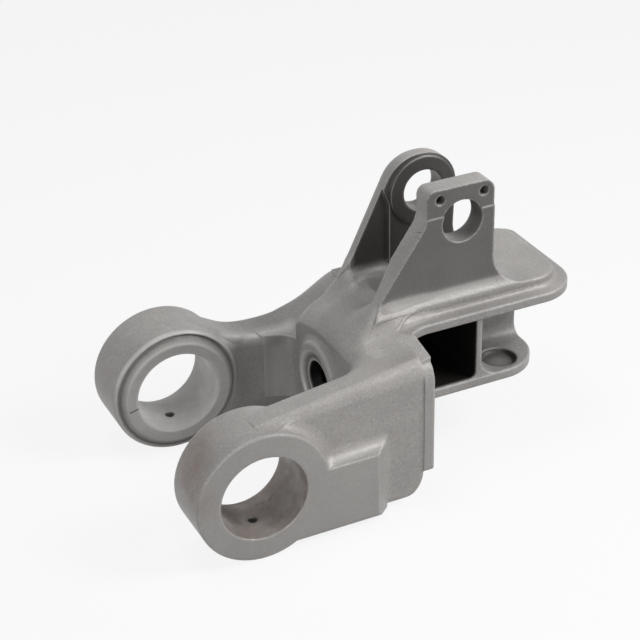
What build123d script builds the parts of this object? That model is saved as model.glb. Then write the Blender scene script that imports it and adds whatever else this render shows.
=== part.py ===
from build123d import *
import math
import os

# Investment-cast bracket in one piece: two eyes on arms, a hollow body, a top flange with
# a raised pad, a lower flange with rounded corners, and two ears on the pad.
# Millimetres, +Z up. X runs from the eyes to the flanges, Y across the part.
# The origin is on the axis of the two eyes, midway between them.

# Eyes
EYE_BORE_R = 30.0
EYE_R = 46.0
EYE_WIDTH = 43.0
EYE_GAP = 98.8
EYE_RING_R = 36.4
EYE_BEVEL_R = 40.9
EYE_GROOVE_R = 43.0
EYE_GROOVE_DEPTH = 4.0
EYE_BEVEL_DEPTH = 2.4
EYE_EDGE = 0.8
EYE_ROUND = 3.0
GREASE_HOLE_R = 3.3

EYE_IN = EYE_GAP / 2
EYE_OUT = EYE_IN + EYE_WIDTH

# Arms
ARM_OUT = 83.2
ARM_IN = 56.0
ARM_TOP_AT_EYE = 46.6
ARM_TOP_SLOPE = 0.125
ARM_BOTTOM = -42.5
ARM_HEEL_R = 20.0
ARM_EDGE_R = 6.0
ARM_INNER_ROUND = 12.0
ARM_TOP_TILT = 1.2
FAR_ARM_IN = 58.0
FAR_ARM_TOP = 25.5
FAR_ARM_OUT = 84.0
FAR_ARM_END = 90.0
SWEEP_X0 = 86.0
FOOT_END = 82.0
FOOT_SLANT = 15.0
LEDGE_FRONT_Z = 7.6
LEDGE_BACK_Z = 10.0
EYE_FILLET = 8.0
LEDGE_FILLET = 6.0

# Body between the arms
CROTCH_X = 84.5
CROTCH_PLAN_R = 14.0
CORE_NEAR = -78.0
HOOD_FAR_ROUND = 12.0
OUTER_ROUND_END = 15.0
CORE_FAR = 38.0
BODY_BOTTOM = -24.0
PLATE_X0 = 118.8
PLATE_X1 = 126.0
PLATE_HALF = 84.2
PLATE_TOP = 60.6
PLATE_ROUND = 16.0
PLATE_FAR_HALF = 78.0
BODY_WALL = 8.0
BOSS_FACE_X = 80.5
BOSS_FOOT_R = 30.0
BOSS_CREST_R = 25.0
BOSS_STEP_R = 20.5
BOSS_STEP_DEPTH = 2.6
BOSS_HOLE_R = 15.0
BOSS_Z = 12.0

# Top flange and its raised pad
RIM_TOP = 66.0
RIM_THICK = 6.7
RIM_HALF = 50.0
RIM_RIGHT = 261.5
RIM_NEAR_CORNER = 30.0
RIM_FAR_CORNER = 11.0
RIM_NECK_R = 23.0
RIM_NECK_X = 117.3
PAD_TOP = 73.6
PAD_INSET = 10.2
PAD_RAMP_X = 136.0
PAD_ROUND = 2.0
RIM_EDGE = 0.7

# Lower flange
LOW_TOP = 14.0
LOW_THICK = 6.4
LOW_RIGHT = 234.3
LOW_HALF = 49.4
LOW_CORNER = 31.0

# Walls between the flanges
CROSS_X = 178.4
CROSS_THICK = 3.8
CROSS_FRONT = 48.5
FAR_WALL_Y = 42.0
FAR_WALL_THICK = 7.0
WEB_HALF = 7.0
WEB_END = 233.4
WEB_TOP_R = 5.0
WEB_FOOT_R = 9.0
CROSS_FOOT_R = 13.0
CROSS_BACK_FOOT_R = 5.0
SEAT_X = 205.8
SEAT_Y = 32.0
SEAT_R = 12.8
SEAT_DEPTH = 3.6
SEAT_ROUND = 1.8

# Ears
EAR_BORE_R = 15.0
EAR_X = 173.3
EAR_Z = 128.0
NEAR_EAR_FRONT = -34.7
NEAR_EAR_BACK = -19.6
NEAR_EAR_TOP = 153.4
NEAR_EAR_LEFT = 146.9
EAR_RIGHT = 197.5
EAR_FOOT_R = 23.5
EAR_FOOT_X = 224.0
FLARE_DROP = 4.0
MILLED_Z = 134.2
MILLED_DEPTH = 1.0
SCREW_HALF_SPACING = 16.35
SCREW_ABOVE_BORE = 18.0
SCREW_R = 3.4
SCREW_DEPTH = 12.0
FAR_EAR_FRONT = 18.2
FAR_EAR_BACK = 34.7
FAR_RING_HEIGHT = 1.4
FAR_WEB_RECESS = 4.0
FAR_LUG_R = 26.8
FAR_BACK_ROUND = 8.5
FAR_RIGHT = 196.5
FAR_RING_R = 24.5

RIM_BOTTOM = RIM_TOP - RIM_THICK
LOW_BOTTOM = LOW_TOP - LOW_THICK
FAR_LIMIT = 120.0
DEEP = -70.0


def along_y(face, y_from, y_to):
    """Solid of an XZ outline between two Y positions."""
    return extrude(Plane.XZ.offset(-y_from) * face, amount=-(y_to - y_from))


def along_x(face, x_from, x_to):
    """Solid of a YZ outline between two X positions."""
    return extrude(Plane.YZ.offset(x_from) * face, amount=x_to - x_from)


def along_z(face, z_from, z_to):
    """Solid of an XY outline between two Z positions."""
    return extrude(Plane.XY.offset(z_from) * face, amount=z_to - z_from)


def outline(corners):
    """Closed outline from (u, v, corner radius) corners."""
    edges = []
    starts = []
    ends = []
    count = len(corners)
    for i, (u, v, r) in enumerate(corners):
        here = Vector(u, v)
        back = (Vector(*corners[i - 1][:2]) - here).normalized()
        ahead = (Vector(*corners[(i + 1) % count][:2]) - here).normalized()
        if r == 0:
            starts.append(here)
            ends.append(here)
            continue
        half = math.acos(back.dot(ahead)) / 2
        reach = r / math.tan(half)
        centre = here + (back + ahead).normalized() * (r / math.sin(half))
        middle = centre + (here - centre).normalized() * r
        starts.append(here + back * reach)
        ends.append(here + ahead * reach)
        edges.append(ThreePointArc(starts[-1], middle, ends[-1]))
    for i in range(count):
        edges.append(Line(ends[i], starts[(i + 1) % count]))
    return make_face(edges)


def y_cylinder(radius, x, z, y_from, y_to):
    return along_y(Pos(x, z) * Circle(radius), y_from, y_to)


def arm_top(x):
    """Height of the near arm's upper edge."""
    return ARM_TOP_AT_EYE + ARM_TOP_SLOPE * x


def eye(side):
    """One eye, side -1 near and +1 far, with the ring on its inner face."""
    profile = Polyline(
        (0, EYE_IN),
        (EYE_RING_R, EYE_IN),
        (EYE_BEVEL_R, EYE_IN + EYE_BEVEL_DEPTH),
        (EYE_GROOVE_R, EYE_IN + EYE_GROOVE_DEPTH),
        (EYE_R - EYE_ROUND * 0.7, EYE_IN + EYE_BEVEL_DEPTH),
        (EYE_R, EYE_IN + EYE_BEVEL_DEPTH + EYE_ROUND),
        (EYE_R, EYE_OUT - EYE_EDGE),
        (EYE_R - EYE_EDGE, EYE_OUT),
        (0, EYE_OUT),
        close=True,
    )
    ring = revolve(make_face(profile), Axis.Y)
    return ring if side > 0 else ring.mirror(Plane.XZ)


near_eye = eye(-1)
far_eye = eye(1)

# Near arm and crotch wall under one sloped top; the inner top edge runs round the crotch
hood = along_z(
    outline([
        (0, -ARM_OUT, 0),
        (PLATE_X0, -ARM_OUT, 0),
        (PLATE_X0, CORE_FAR, 0),
        (CROTCH_X, CORE_FAR, 0),
        (CROTCH_X, -ARM_IN, CROTCH_PLAN_R),
        (0, -ARM_IN, 0),
    ]),
    ARM_BOTTOM, RIM_TOP,
)
hood_top = Plane(
    origin=(0, -ARM_OUT, ARM_TOP_AT_EYE),
    z_dir=(-ARM_TOP_SLOPE, ARM_TOP_TILT / (ARM_OUT - ARM_IN), 1),
)
hood = split(hood, bisect_by=hood_top, keep=Keep.BOTTOM)
top_edges = hood.faces().sort_by(Axis.Z)[-1].edges()
inner_edges = [
    e for e in top_edges
    if -ARM_OUT + 1 < e.center().Y < CORE_FAR - 1 and 1 < e.center().X < PLATE_X0 - 1
]
hood = fillet(inner_edges, ARM_INNER_ROUND)
far_edges = [e for e in hood.edges() if e.center().Y > CORE_FAR - 0.5 and e.center().Z > ARM_TOP_AT_EYE]
hood = fillet(far_edges, HOOD_FAR_ROUND)
hood = hood - along_y(
    Pos(PLATE_X0 / 2, ARM_BOTTOM) * Rectangle(PLATE_X0 + 20, 2 * (BODY_BOTTOM - ARM_BOTTOM)),
    -ARM_IN, CORE_FAR + 1,
)
heel = along_y(
    outline([
        (-1, ARM_BOTTOM, 0),
        (PLATE_X0, ARM_BOTTOM, ARM_HEEL_R),
        (PLATE_X0, RIM_TOP, 0),
        (-1, RIM_TOP, 0),
    ]),
    -ARM_OUT - 1, CORE_FAR + 1,
)


def outer_limit(x, radius):
    """Outer side of the near arm with its top edge rounded."""
    return Plane.YZ.offset(x) * outline([
        (-ARM_OUT, ARM_BOTTOM, ARM_EDGE_R),
        (-ARM_OUT, arm_top(x) + 0.5, radius),
        (CORE_FAR + 1, arm_top(x) + 6.0, 0),
        (CORE_FAR + 1, ARM_BOTTOM, 0),
    ])


hood = hood & heel & loft([outer_limit(-1, ARM_EDGE_R), outer_limit(PLATE_X0 + 1, OUTER_ROUND_END)])

# Lower part of the arm's outer side stands out to the eye's machined face
slant = along_z(
    outline([
        (0, -ARM_OUT + 4, 0),
        (0, -EYE_OUT, 0),
        (FOOT_END - 1, -EYE_OUT, 0),
        (FOOT_END - 1 + FOOT_SLANT, -ARM_OUT + 4, 0),
    ]),
    DEEP, RIM_TOP,
)
ledge = along_x(
    outline([
        (-EYE_OUT, ARM_BOTTOM, 5),
        (-ARM_OUT + 4, ARM_BOTTOM, 0),
        (-ARM_OUT + 4, LEDGE_BACK_Z + 1, 0),
        (-EYE_OUT, LEDGE_FRONT_Z, 0),
    ]),
    0, FOOT_END + 10,
)
foot = along_y(
    outline([
        (0, ARM_BOTTOM, 0),
        (FOOT_END + 10, ARM_BOTTOM, 0),
        (FOOT_END + 10, LEDGE_BACK_Z + 4, 0),
        (0, LEDGE_BACK_Z + 4, 0),
    ]),
    -EYE_OUT, -ARM_OUT + 4,
) & slant & ledge

ledge_fillet = along_x(
    make_face([
        Line((-ARM_OUT + 2, LEDGE_BACK_Z - 3), (-ARM_OUT - LEDGE_FILLET, LEDGE_BACK_Z - 3)),
        Line((-ARM_OUT - LEDGE_FILLET, LEDGE_BACK_Z - 3), (-ARM_OUT - LEDGE_FILLET, LEDGE_BACK_Z - 1.1)),
        ThreePointArc(
            (-ARM_OUT - LEDGE_FILLET, LEDGE_BACK_Z - 1.1),
            (-ARM_OUT - 1.8, LEDGE_BACK_Z + 1.4),
            (-ARM_OUT, LEDGE_BACK_Z + LEDGE_FILLET),
        ),
        Line((-ARM_OUT, LEDGE_BACK_Z + LEDGE_FILLET), (-ARM_OUT + 2, LEDGE_BACK_Z + LEDGE_FILLET)),
        Line((-ARM_OUT + 2, LEDGE_BACK_Z + LEDGE_FILLET), (-ARM_OUT + 2, LEDGE_BACK_Z - 3)),
    ]),
    EYE_RING_R, FOOT_END + 10,
) & slant
crescent_profile = make_face([
    Line((EYE_R - 2, -ARM_OUT + 2), (EYE_R + EYE_FILLET, -ARM_OUT + 2)),
    Line((EYE_R + EYE_FILLET, -ARM_OUT + 2), (EYE_R + EYE_FILLET, -ARM_OUT)),
    ThreePointArc(
        (EYE_R + EYE_FILLET, -ARM_OUT),
        (EYE_R + EYE_FILLET * 0.293, -ARM_OUT - EYE_FILLET * 0.293),
        (EYE_R, -ARM_OUT - EYE_FILLET),
    ),
    Line((EYE_R, -ARM_OUT - EYE_FILLET), (EYE_R - 2, -ARM_OUT - EYE_FILLET)),
    Line((EYE_R - 2, -ARM_OUT - EYE_FILLET), (EYE_R - 2, -ARM_OUT + 2)),
])
crescent = revolve(crescent_profile, Axis.Y) & along_y(
    outline([
        (6.0, LEDGE_FRONT_Z - 4, 0),
        (EYE_R + EYE_FILLET + 1, LEDGE_FRONT_Z - 4, 0),
        (EYE_R + EYE_FILLET + 1, arm_top(EYE_R + EYE_FILLET + 1) - 4.0, 0),
        (6.0, arm_top(6.0) - 4.0, 0),
    ]),
    -EYE_OUT, -ARM_OUT + 3,
)

# Upper limit of the body: a dome that rises from the arms to the pad, crowned across
def dome_section(x, z_out, z_mid, z_crown, z_back, z_far):
    return Plane.YZ.offset(x) * outline([
        (CORE_NEAR - 4, DEEP, 0),
        (CORE_NEAR - 4, z_out, 0),
        (-61.4, z_mid, 14),
        (-33.0, z_crown, 20),
        (5.0, z_back, 20),
        (CORE_FAR + 2, z_far, 14),
        (CORE_FAR + 2, DEEP, 0),
    ])


dome = loft([
    dome_section(83.5, 40.0, 44.0, 45.0, 44.5, 36.0),
    dome_section(86.0, 46.0, 50.0, 54.0, 53.2, 43.0),
    dome_section(89.0, 49.5, 53.5, 58.8, 58.0, 46.5),
    dome_section(98.0, 54.0, 58.3, 65.2, 64.2, 53.0),
    dome_section(PLATE_X0, 57.5, 62.2, 71.0, 70.6, 65.5),
    dome_section(PAD_RAMP_X, 60.0, 66.5, PAD_TOP, PAD_TOP + 0.4, PAD_TOP),
])
core = along_y(
    outline([
        (CROTCH_X, BODY_BOTTOM, 0),
        (PLATE_X1, BODY_BOTTOM, 4),
        (PLATE_X1, RIM_TOP, 0),
        (CROTCH_X, RIM_TOP, 0),
    ]),
    CORE_NEAR, CORE_FAR,
)

# Back plate of the body: its near and far edges stand proud of the arms
plate = along_x(
    outline([
        (-PLATE_HALF, BODY_BOTTOM, 4),
        (PLATE_FAR_HALF, BODY_BOTTOM, 4),
        (PLATE_FAR_HALF, RIM_BOTTOM + 2, 0.92 * (PLATE_FAR_HALF - CORE_FAR)),
        (-20.0, RIM_BOTTOM + 2, 0),
        (-20.0, PLATE_TOP, 0),
        (-PLATE_HALF, PLATE_TOP, PLATE_ROUND),
    ]),
    PLATE_X0, PLATE_X1,
)

# Far arm: same eye and foot, but a waisted top that sweeps up to the flange
far_top = Spline(
    (18.0, 42.3),
    (31.0, 36.8),
    (46.0, 29.0),
    (68.0, FAR_ARM_TOP),
    (FAR_ARM_END, 27.0),
    tangents=[(1, -0.35), (1, 0.16)],
)
far_face = make_face([
    far_top,
    Line((FAR_ARM_END, 27.0), (FAR_ARM_END, ARM_BOTTOM)),
    Line((FAR_ARM_END, ARM_BOTTOM), (0, ARM_BOTTOM)),
    Line((0, ARM_BOTTOM), (0, 42.3)),
    Line((0, 42.3), (18.0, 42.3)),
])
far_arm = along_y(far_face, FAR_ARM_IN, FAR_ARM_OUT)
far_arm = fillet(far_arm.edges().filter_by(GeomType.BSPLINE), ARM_EDGE_R)


def sweep_section(x, z_top, y_out, shoulder_r):
    return Plane.YZ.offset(x) * outline([
        (CORE_FAR, DEEP, 0),
        (CORE_FAR, z_top, 0),
        (y_out, z_top, shoulder_r),
        (y_out, DEEP, 0),
    ])


far_span = PLATE_FAR_HALF - CORE_FAR
sweep_up = loft([
    sweep_section(SWEEP_X0, 26.8, FAR_ARM_OUT, 7.0),
    sweep_section(96.0, 34.0, 83.0, 0.35 * far_span),
    sweep_section(108.0, 50.0, 80.0, 0.75 * far_span),
    sweep_section(PLATE_X0, 61.5, PLATE_FAR_HALF, 0.9 * far_span),
    sweep_section(PLATE_X1, RIM_TOP, PLATE_FAR_HALF, 0.975 * far_span),
])
far_block = along_y(
    outline([
        (SWEEP_X0, ARM_BOTTOM, 0),
        (PLATE_X0, ARM_BOTTOM, ARM_HEEL_R),
        (PLATE_X0, RIM_TOP, 0),
        (SWEEP_X0, RIM_TOP, 0),
    ]),
    FAR_ARM_IN, FAR_LIMIT,
) + along_y(
    outline([
        (SWEEP_X0, BODY_BOTTOM, 0),
        (PLATE_X1, BODY_BOTTOM, 0),
        (PLATE_X1, RIM_TOP, 0),
        (SWEEP_X0, RIM_TOP, 0),
    ]),
    CORE_FAR, PLATE_FAR_HALF,
)
far_block = far_block & sweep_up

# Crotch: the wall continues to the far arm through a rounded column
column = along_z(
    outline([
        (62.0, FAR_ARM_IN + 6, 0),
        (65.0, 52.0, 6),
        (CROTCH_X, 45.0, 12),
        (CROTCH_X, 30.0, 0),
        (FAR_ARM_END + 0.5, 30.0, 0),
        (FAR_ARM_END + 0.5, FAR_ARM_IN + 6, 0),
    ]),
    BODY_BOTTOM, 26.0,
)
boss_profile = make_face([
    Line((CROTCH_X + 2, 0), (CROTCH_X + 2, BOSS_FOOT_R)),
    Line((CROTCH_X + 2, BOSS_FOOT_R), (CROTCH_X, BOSS_FOOT_R)),
    Line((CROTCH_X, BOSS_FOOT_R), (BOSS_FACE_X + 0.8, BOSS_CREST_R + 2.6)),
    Line((BOSS_FACE_X + 0.8, BOSS_CREST_R + 2.6), (BOSS_FACE_X, BOSS_CREST_R)),
    Line((BOSS_FACE_X, BOSS_CREST_R), (BOSS_FACE_X, BOSS_CREST_R - 1.6)),
    Line((BOSS_FACE_X, BOSS_CREST_R - 1.6), (BOSS_FACE_X + BOSS_STEP_DEPTH, BOSS_STEP_R)),
    Line((BOSS_FACE_X + BOSS_STEP_DEPTH, BOSS_STEP_R), (BOSS_FACE_X + BOSS_STEP_DEPTH, 0)),
    Line((BOSS_FACE_X + BOSS_STEP_DEPTH, 0), (CROTCH_X + 2, 0)),
])
boss = Pos(0, 0, BOSS_Z) * revolve(Plane.XZ * boss_profile, Axis.X)

# Top flange: a rim, and a pad inset from its edge, both fading into the body
def flange_plan(inset, near_r, far_r):
    half = RIM_HALF - inset
    neck = RIM_NECK_X - inset
    right = RIM_RIGHT - inset
    return outline([
        (neck, -FAR_LIMIT, 0),
        (neck, -half, RIM_NECK_R + inset),
        (right, -half, near_r),
        (right, half, far_r),
        (neck, half, RIM_NECK_R + inset),
        (neck, FAR_LIMIT, 0),
        (CROTCH_X, FAR_LIMIT, 0),
        (CROTCH_X, -FAR_LIMIT, 0),
    ])


rim_plan = flange_plan(0, RIM_NEAR_CORNER, RIM_FAR_CORNER)
pad_plan = flange_plan(PAD_INSET, RIM_NEAR_CORNER - PAD_INSET, RIM_FAR_CORNER)
level_part = along_y(
    outline([
        (PAD_RAMP_X, RIM_BOTTOM - 1, 0),
        (RIM_RIGHT + 1, RIM_BOTTOM - 1, 0),
        (RIM_RIGHT + 1, PAD_TOP + 1, 0),
        (PAD_RAMP_X, PAD_TOP + 1, 0),
    ]),
    -FAR_LIMIT, FAR_LIMIT,
)
rim_slab = along_z(rim_plan, RIM_BOTTOM, RIM_TOP)
rim_edges = [
    e for e in rim_slab.edges()
    if e.center().X > RIM_NECK_X + 1 and abs(e.center().Y) < RIM_HALF + 15 and e.length > RIM_THICK + 1
]
rim_slab = chamfer(rim_edges, RIM_EDGE)
pad_slab = along_z(pad_plan, RIM_BOTTOM, PAD_TOP)
pad_edges = [
    e for e in pad_slab.edges()
    if e.center().Z > PAD_TOP - 0.1 and e.center().X > RIM_NECK_X and abs(e.center().Y) < RIM_HALF
]
pad_slab = fillet(pad_edges, PAD_ROUND)
stack = core + rim_slab + pad_slab
far_rim = rim_slab & along_y(
    Pos((PLATE_X0 + PAD_RAMP_X) / 2, RIM_TOP) * Rectangle(PAD_RAMP_X - PLATE_X0, 40), CORE_FAR, RIM_HALF
)
body = (stack & dome) + (stack & level_part) + far_rim

# Lower flange
low_plan = outline([
    (PLATE_X0, -LOW_HALF, 0),
    (LOW_RIGHT, -LOW_HALF, LOW_CORNER),
    (LOW_RIGHT, LOW_HALF, LOW_CORNER),
    (PLATE_X0, LOW_HALF, 0),
])
low = along_z(low_plan, LOW_BOTTOM, LOW_TOP)
low_edges = [e for e in low.edges() if e.center().X > PLATE_X0 + 1 and e.center().Z > LOW_TOP - 0.1]
low = chamfer(low_edges, RIM_EDGE)

# Walls between the flanges
cross_wall = along_x(
    outline([
        (-CROSS_FRONT, LOW_BOTTOM, 0),
        (FAR_WALL_Y, LOW_BOTTOM, 0),
        (FAR_WALL_Y, RIM_TOP, 0),
        (-CROSS_FRONT, RIM_TOP, 0),
    ]),
    CROSS_X, CROSS_X + CROSS_THICK,
)
far_wall = along_y(
    outline([
        (PLATE_X0, LOW_BOTTOM, 0),
        (CROSS_X + CROSS_THICK, LOW_BOTTOM, 0),
        (CROSS_X + CROSS_THICK, RIM_TOP, 0),
        (PLATE_X0, RIM_TOP, 0),
    ]),
    FAR_WALL_Y - FAR_WALL_THICK, FAR_WALL_Y,
)
web = along_y(
    outline([
        (CROSS_X, LOW_BOTTOM, 0),
        (WEB_END, LOW_BOTTOM, 0),
        (WEB_END, RIM_BOTTOM, WEB_TOP_R),
        (WEB_END + 20, RIM_BOTTOM, 0),
        (WEB_END + 20, RIM_TOP, 0),
        (CROSS_X, RIM_TOP, 0),
    ]),
    -WEB_HALF, WEB_HALF,
) & along_z(
    outline([
        (CROSS_X, -WEB_HALF, 0),
        (WEB_END + 20, -WEB_HALF, 0),
        (WEB_END + 20, WEB_HALF, 0),
        (CROSS_X, WEB_HALF, 0),
    ]),
    LOW_BOTTOM, RIM_TOP,
)



def foot_fillet(face_u, side, radius):
    """Outline of a concave fillet between a wall face and the top of the lower flange."""
    centre_u = face_u + side * radius
    centre_v = LOW_TOP + radius
    return make_face([
        Line((face_u - side * 2, LOW_TOP - 2), (centre_u, LOW_TOP - 2)),
        Line((centre_u, LOW_TOP - 2), (centre_u, LOW_TOP)),
        ThreePointArc(
            (centre_u, LOW_TOP),
            (centre_u - side * radius * math.sin(math.pi / 4), centre_v - radius * math.sin(math.pi / 4)),
            (face_u, centre_v),
        ),
        Line((face_u, centre_v), (face_u - side * 2, centre_v)),
        Line((face_u - side * 2, centre_v), (face_u - side * 2, LOW_TOP - 2)),
    ])


wall_feet = [
    along_x(foot_fillet(-WEB_HALF, -1, WEB_FOOT_R), CROSS_X + 2, WEB_END),
    along_x(foot_fillet(WEB_HALF, 1, WEB_FOOT_R), CROSS_X + 2, WEB_END),
    along_y(foot_fillet(CROSS_X + CROSS_THICK, 1, CROSS_FOOT_R), -CROSS_FRONT, FAR_WALL_Y),
    along_y(foot_fillet(CROSS_X, -1, CROSS_BACK_FOOT_R), -CROSS_FRONT, FAR_WALL_Y - 2),
]

# Near ear: plate with a long gusset down to the body, flared at the foot
def ear_profile(y_front, y_back, front_reach, front_height, back_reach, back_height, top):
    """YZ outline of an ear whose faces curve outwards at the foot."""
    def flare(y_face, side, reach, height):
        radius = (reach ** 2 + height ** 2) / (2 * reach)
        angle = math.atan2(height, radius - reach) / 2
        centre_y = y_face + side * radius
        centre_z = PAD_TOP + height
        middle = (centre_y - side * radius * math.cos(angle), centre_z - radius * math.sin(angle))
        foot = (y_face + side * (reach + FLARE_DROP * height / (radius - reach)), PAD_TOP - FLARE_DROP)
        return (y_face, centre_z), middle, (y_face + side * reach, PAD_TOP), foot

    front_hi, front_mid, front_lo, front_foot = flare(y_front, -1, front_reach, front_height)
    back_hi, back_mid, back_lo, back_foot = flare(y_back, 1, back_reach, back_height)
    return make_face([
        Line((y_front, top), front_hi),
        ThreePointArc(front_hi, front_mid, front_lo),
        Line(front_lo, front_foot),
        Line(front_foot, (front_foot[0], RIM_BOTTOM - 12)),
        Line((front_foot[0], RIM_BOTTOM - 12), (back_foot[0], RIM_BOTTOM - 12)),
        Line((back_foot[0], RIM_BOTTOM - 12), back_foot),
        Line(back_foot, back_lo),
        ThreePointArc(back_lo, back_mid, back_hi),
        Line(back_hi, (y_back, top)),
        Line((y_back, top), (y_front, top)),
    ])


near_ear = along_y(
    outline([
        (94.0, 50.0, 0),
        (EAR_FOOT_X, RIM_BOTTOM, 0),
        (EAR_FOOT_X, PAD_TOP, 0),
        (EAR_RIGHT, PAD_TOP, EAR_FOOT_R),
        (EAR_RIGHT, NEAR_EAR_TOP, 8),
        (NEAR_EAR_LEFT, NEAR_EAR_TOP, 6),
        (NEAR_EAR_LEFT, 131.2, 20),
        (94.0, 55.4, 0),
    ]),
    NEAR_EAR_FRONT - 6, NEAR_EAR_BACK + 8,
)
near_ear = near_ear & along_x(
    ear_profile(NEAR_EAR_FRONT, NEAR_EAR_BACK, 5.2, 11.0, 6.0, 8.0, NEAR_EAR_TOP), 90.0, EAR_FOOT_X
)
near_taper = along_z(
    outline([
        (99.0, -33.6, 0),
        (104.0, NEAR_EAR_FRONT - 9, 0),
        (126.0, NEAR_EAR_FRONT - 9, 0),
        (137.0, PAD_INSET - RIM_HALF + 0.3, 0),
        (EAR_FOOT_X + 2, PAD_INSET - RIM_HALF + 0.3, 0),
        (EAR_FOOT_X + 2, NEAR_EAR_BACK + 8, 0),
        (136.0, NEAR_EAR_BACK + 8, 6),
        (128.0, NEAR_EAR_BACK - 0.6, 14),
        (112.0, -25.6, 20),
    ]),
    RIM_BOTTOM - 14, NEAR_EAR_TOP,
)
near_ear = near_ear & near_taper

# Far ear: round lug on a column, with a thinner web on the eye side
far_ear = along_y(
    outline([
        (109.5, 52.0, 0),
        (EAR_FOOT_X, RIM_BOTTOM, 0),
        (EAR_FOOT_X, PAD_TOP, 0),
        (FAR_RIGHT, PAD_TOP, EAR_FOOT_R),
        (FAR_RIGHT + 3.6, EAR_Z + FAR_LUG_R, FAR_LUG_R - 1),
        (153.9, EAR_Z + FAR_LUG_R, FAR_LUG_R),
        (121.6, 88.8, 16),
        (112.5, 72.0, 0),
        (109.5, 59.0, 0),
    ]),
    FAR_EAR_FRONT + FAR_RING_HEIGHT, FAR_EAR_BACK,
)
back_rim = far_ear.faces().sort_by(Axis.Y)[-1].edges()
rounded = [e for e in back_rim if e.center().Z > 80]
far_ear = fillet(rounded, FAR_BACK_ROUND)
left_foot = along_z(
    outline([
        (119.6, FAR_EAR_FRONT - 6, 0),
        (EAR_FOOT_X + 2, FAR_EAR_FRONT - 6, 0),
        (EAR_FOOT_X + 2, RIM_HALF, 0),
        (80.4, RIM_HALF, 0),
        (119.6, FAR_EAR_FRONT + FAR_WEB_RECESS + 0.6, 4),
    ]),
    RIM_BOTTOM - 14, FAR_LIMIT + 60,
)
far_flares = along_y(
    outline([
        (115.0, 58.0, 0),
        (EAR_FOOT_X, RIM_BOTTOM - 2, 0),
        (EAR_FOOT_X, PAD_TOP, 0),
        (FAR_RIGHT, PAD_TOP, EAR_FOOT_R),
        (FAR_RIGHT, 86.0, 0),
        (122.5, 86.0, 0),
        (115.0, 74.0, 0),
    ]),
    FAR_EAR_FRONT - 14, FAR_EAR_BACK + 14,
) & along_x(
    ear_profile(
        FAR_EAR_FRONT + FAR_WEB_RECESS, FAR_EAR_BACK - 3.0, 6.0, 8.0, 7.0, 10.0, 86.0
    ),
    100.0, EAR_FOOT_X,
) & along_z(
    outline([
        (114.0, 24.0, 0),
        (119.4, 18.6, 2),
        (143.4, 15.8, 0),
        (EAR_FOOT_X + 2, 6.0, 0),
        (EAR_FOOT_X + 2, 46.0, 0),
        (137.0, 41.0, 0),
        (128.0, 34.0, 0),
        (114.0, 30.0, 0),
    ]),
    RIM_BOTTOM - 14, 90.0,
) & left_foot
web_pocket = along_y(
    outline([
        (90.0, 60.0, 0),
        (148.5, 60.0, 0),
        (148.5, 122.0, 3),
        (143.0, 136.0, 4),
        (90.0, 136.0, 0),
    ]),
    FAR_EAR_FRONT - 2, FAR_EAR_FRONT + FAR_WEB_RECESS,
)
lug_keep = y_cylinder(FAR_LUG_R - 1.5, EAR_X, EAR_Z, FAR_EAR_FRONT - 3, FAR_EAR_BACK)
far_ear = (far_ear - (web_pocket - lug_keep)) & left_foot
far_ring = y_cylinder(FAR_RING_R, EAR_X, EAR_Z, FAR_EAR_FRONT, FAR_EAR_BACK - 3)

# Hollow inside the body, open to the near side between the flanges
cavity = along_y(
    outline([
        (CROTCH_X + BODY_WALL, BODY_BOTTOM + BODY_WALL, 8),
        (PLATE_X0, BODY_BOTTOM + BODY_WALL, 4),
        (PLATE_X0, LOW_TOP, 0),
        (CROSS_X, LOW_TOP, 0),
        (CROSS_X, RIM_BOTTOM, 0),
        (PLATE_X0 + 2, RIM_BOTTOM, 6),
        (CROTCH_X + BODY_WALL, 50.0, 8),
    ]),
    -48.0, FAR_WALL_Y - FAR_WALL_THICK,
) + along_y(
    outline([
        (PLATE_X0, LOW_TOP, 0),
        (CROSS_X, LOW_TOP, 0),
        (CROSS_X, RIM_BOTTOM, 0),
        (PLATE_X0, RIM_BOTTOM, 0),
    ]),
    -RIM_HALF - 3, -40.0,
)

whole = near_eye + far_eye + hood + foot + ledge_fillet + crescent
for piece in (
    body, plate, far_arm, far_block, column, boss, low,
    near_ear, far_ear, far_flares, far_ring,
):
    whole = whole + piece
whole = whole - cavity
for piece in [cross_wall, far_wall, web] + wall_feet:
    whole = whole + piece

# Bores and holes
whole = whole - y_cylinder(EYE_BORE_R, 0, 0, -EYE_OUT - 1, EYE_OUT + 1)
whole = whole - y_cylinder(EAR_BORE_R, EAR_X, EAR_Z, NEAR_EAR_FRONT - 6, FAR_EAR_BACK + 6)
whole = whole - along_x(Pos(0, BOSS_Z) * Circle(BOSS_HOLE_R), BOSS_FACE_X - 1, CROTCH_X + BODY_WALL + 1)
for y in (-EYE_OUT + EYE_WIDTH / 2, EYE_OUT - EYE_WIDTH / 2):
    whole = whole - Pos(0, y, -EYE_R) * Cylinder(GREASE_HOLE_R, EYE_R)
for dx in (-SCREW_HALF_SPACING, SCREW_HALF_SPACING):
    whole = whole - y_cylinder(
        SCREW_R, EAR_X + dx, EAR_Z + SCREW_ABOVE_BORE, NEAR_EAR_FRONT - 1, NEAR_EAR_FRONT + SCREW_DEPTH
    )
whole = whole - along_y(
    Pos(EAR_X, (MILLED_Z + NEAR_EAR_TOP + 5) / 2) * Rectangle(80, NEAR_EAR_TOP + 5 - MILLED_Z),
    NEAR_EAR_FRONT - 1, NEAR_EAR_FRONT + MILLED_DEPTH,
)
seat = Pos(0, 0, LOW_TOP - SEAT_DEPTH + 20) * Cylinder(SEAT_R, 40)
seat = chamfer(seat.edges().sort_by(Axis.Z)[0], SEAT_ROUND)
for side in (-1, 1):
    whole = whole - Pos(SEAT_X, side * SEAT_Y, 0) * seat

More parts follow.
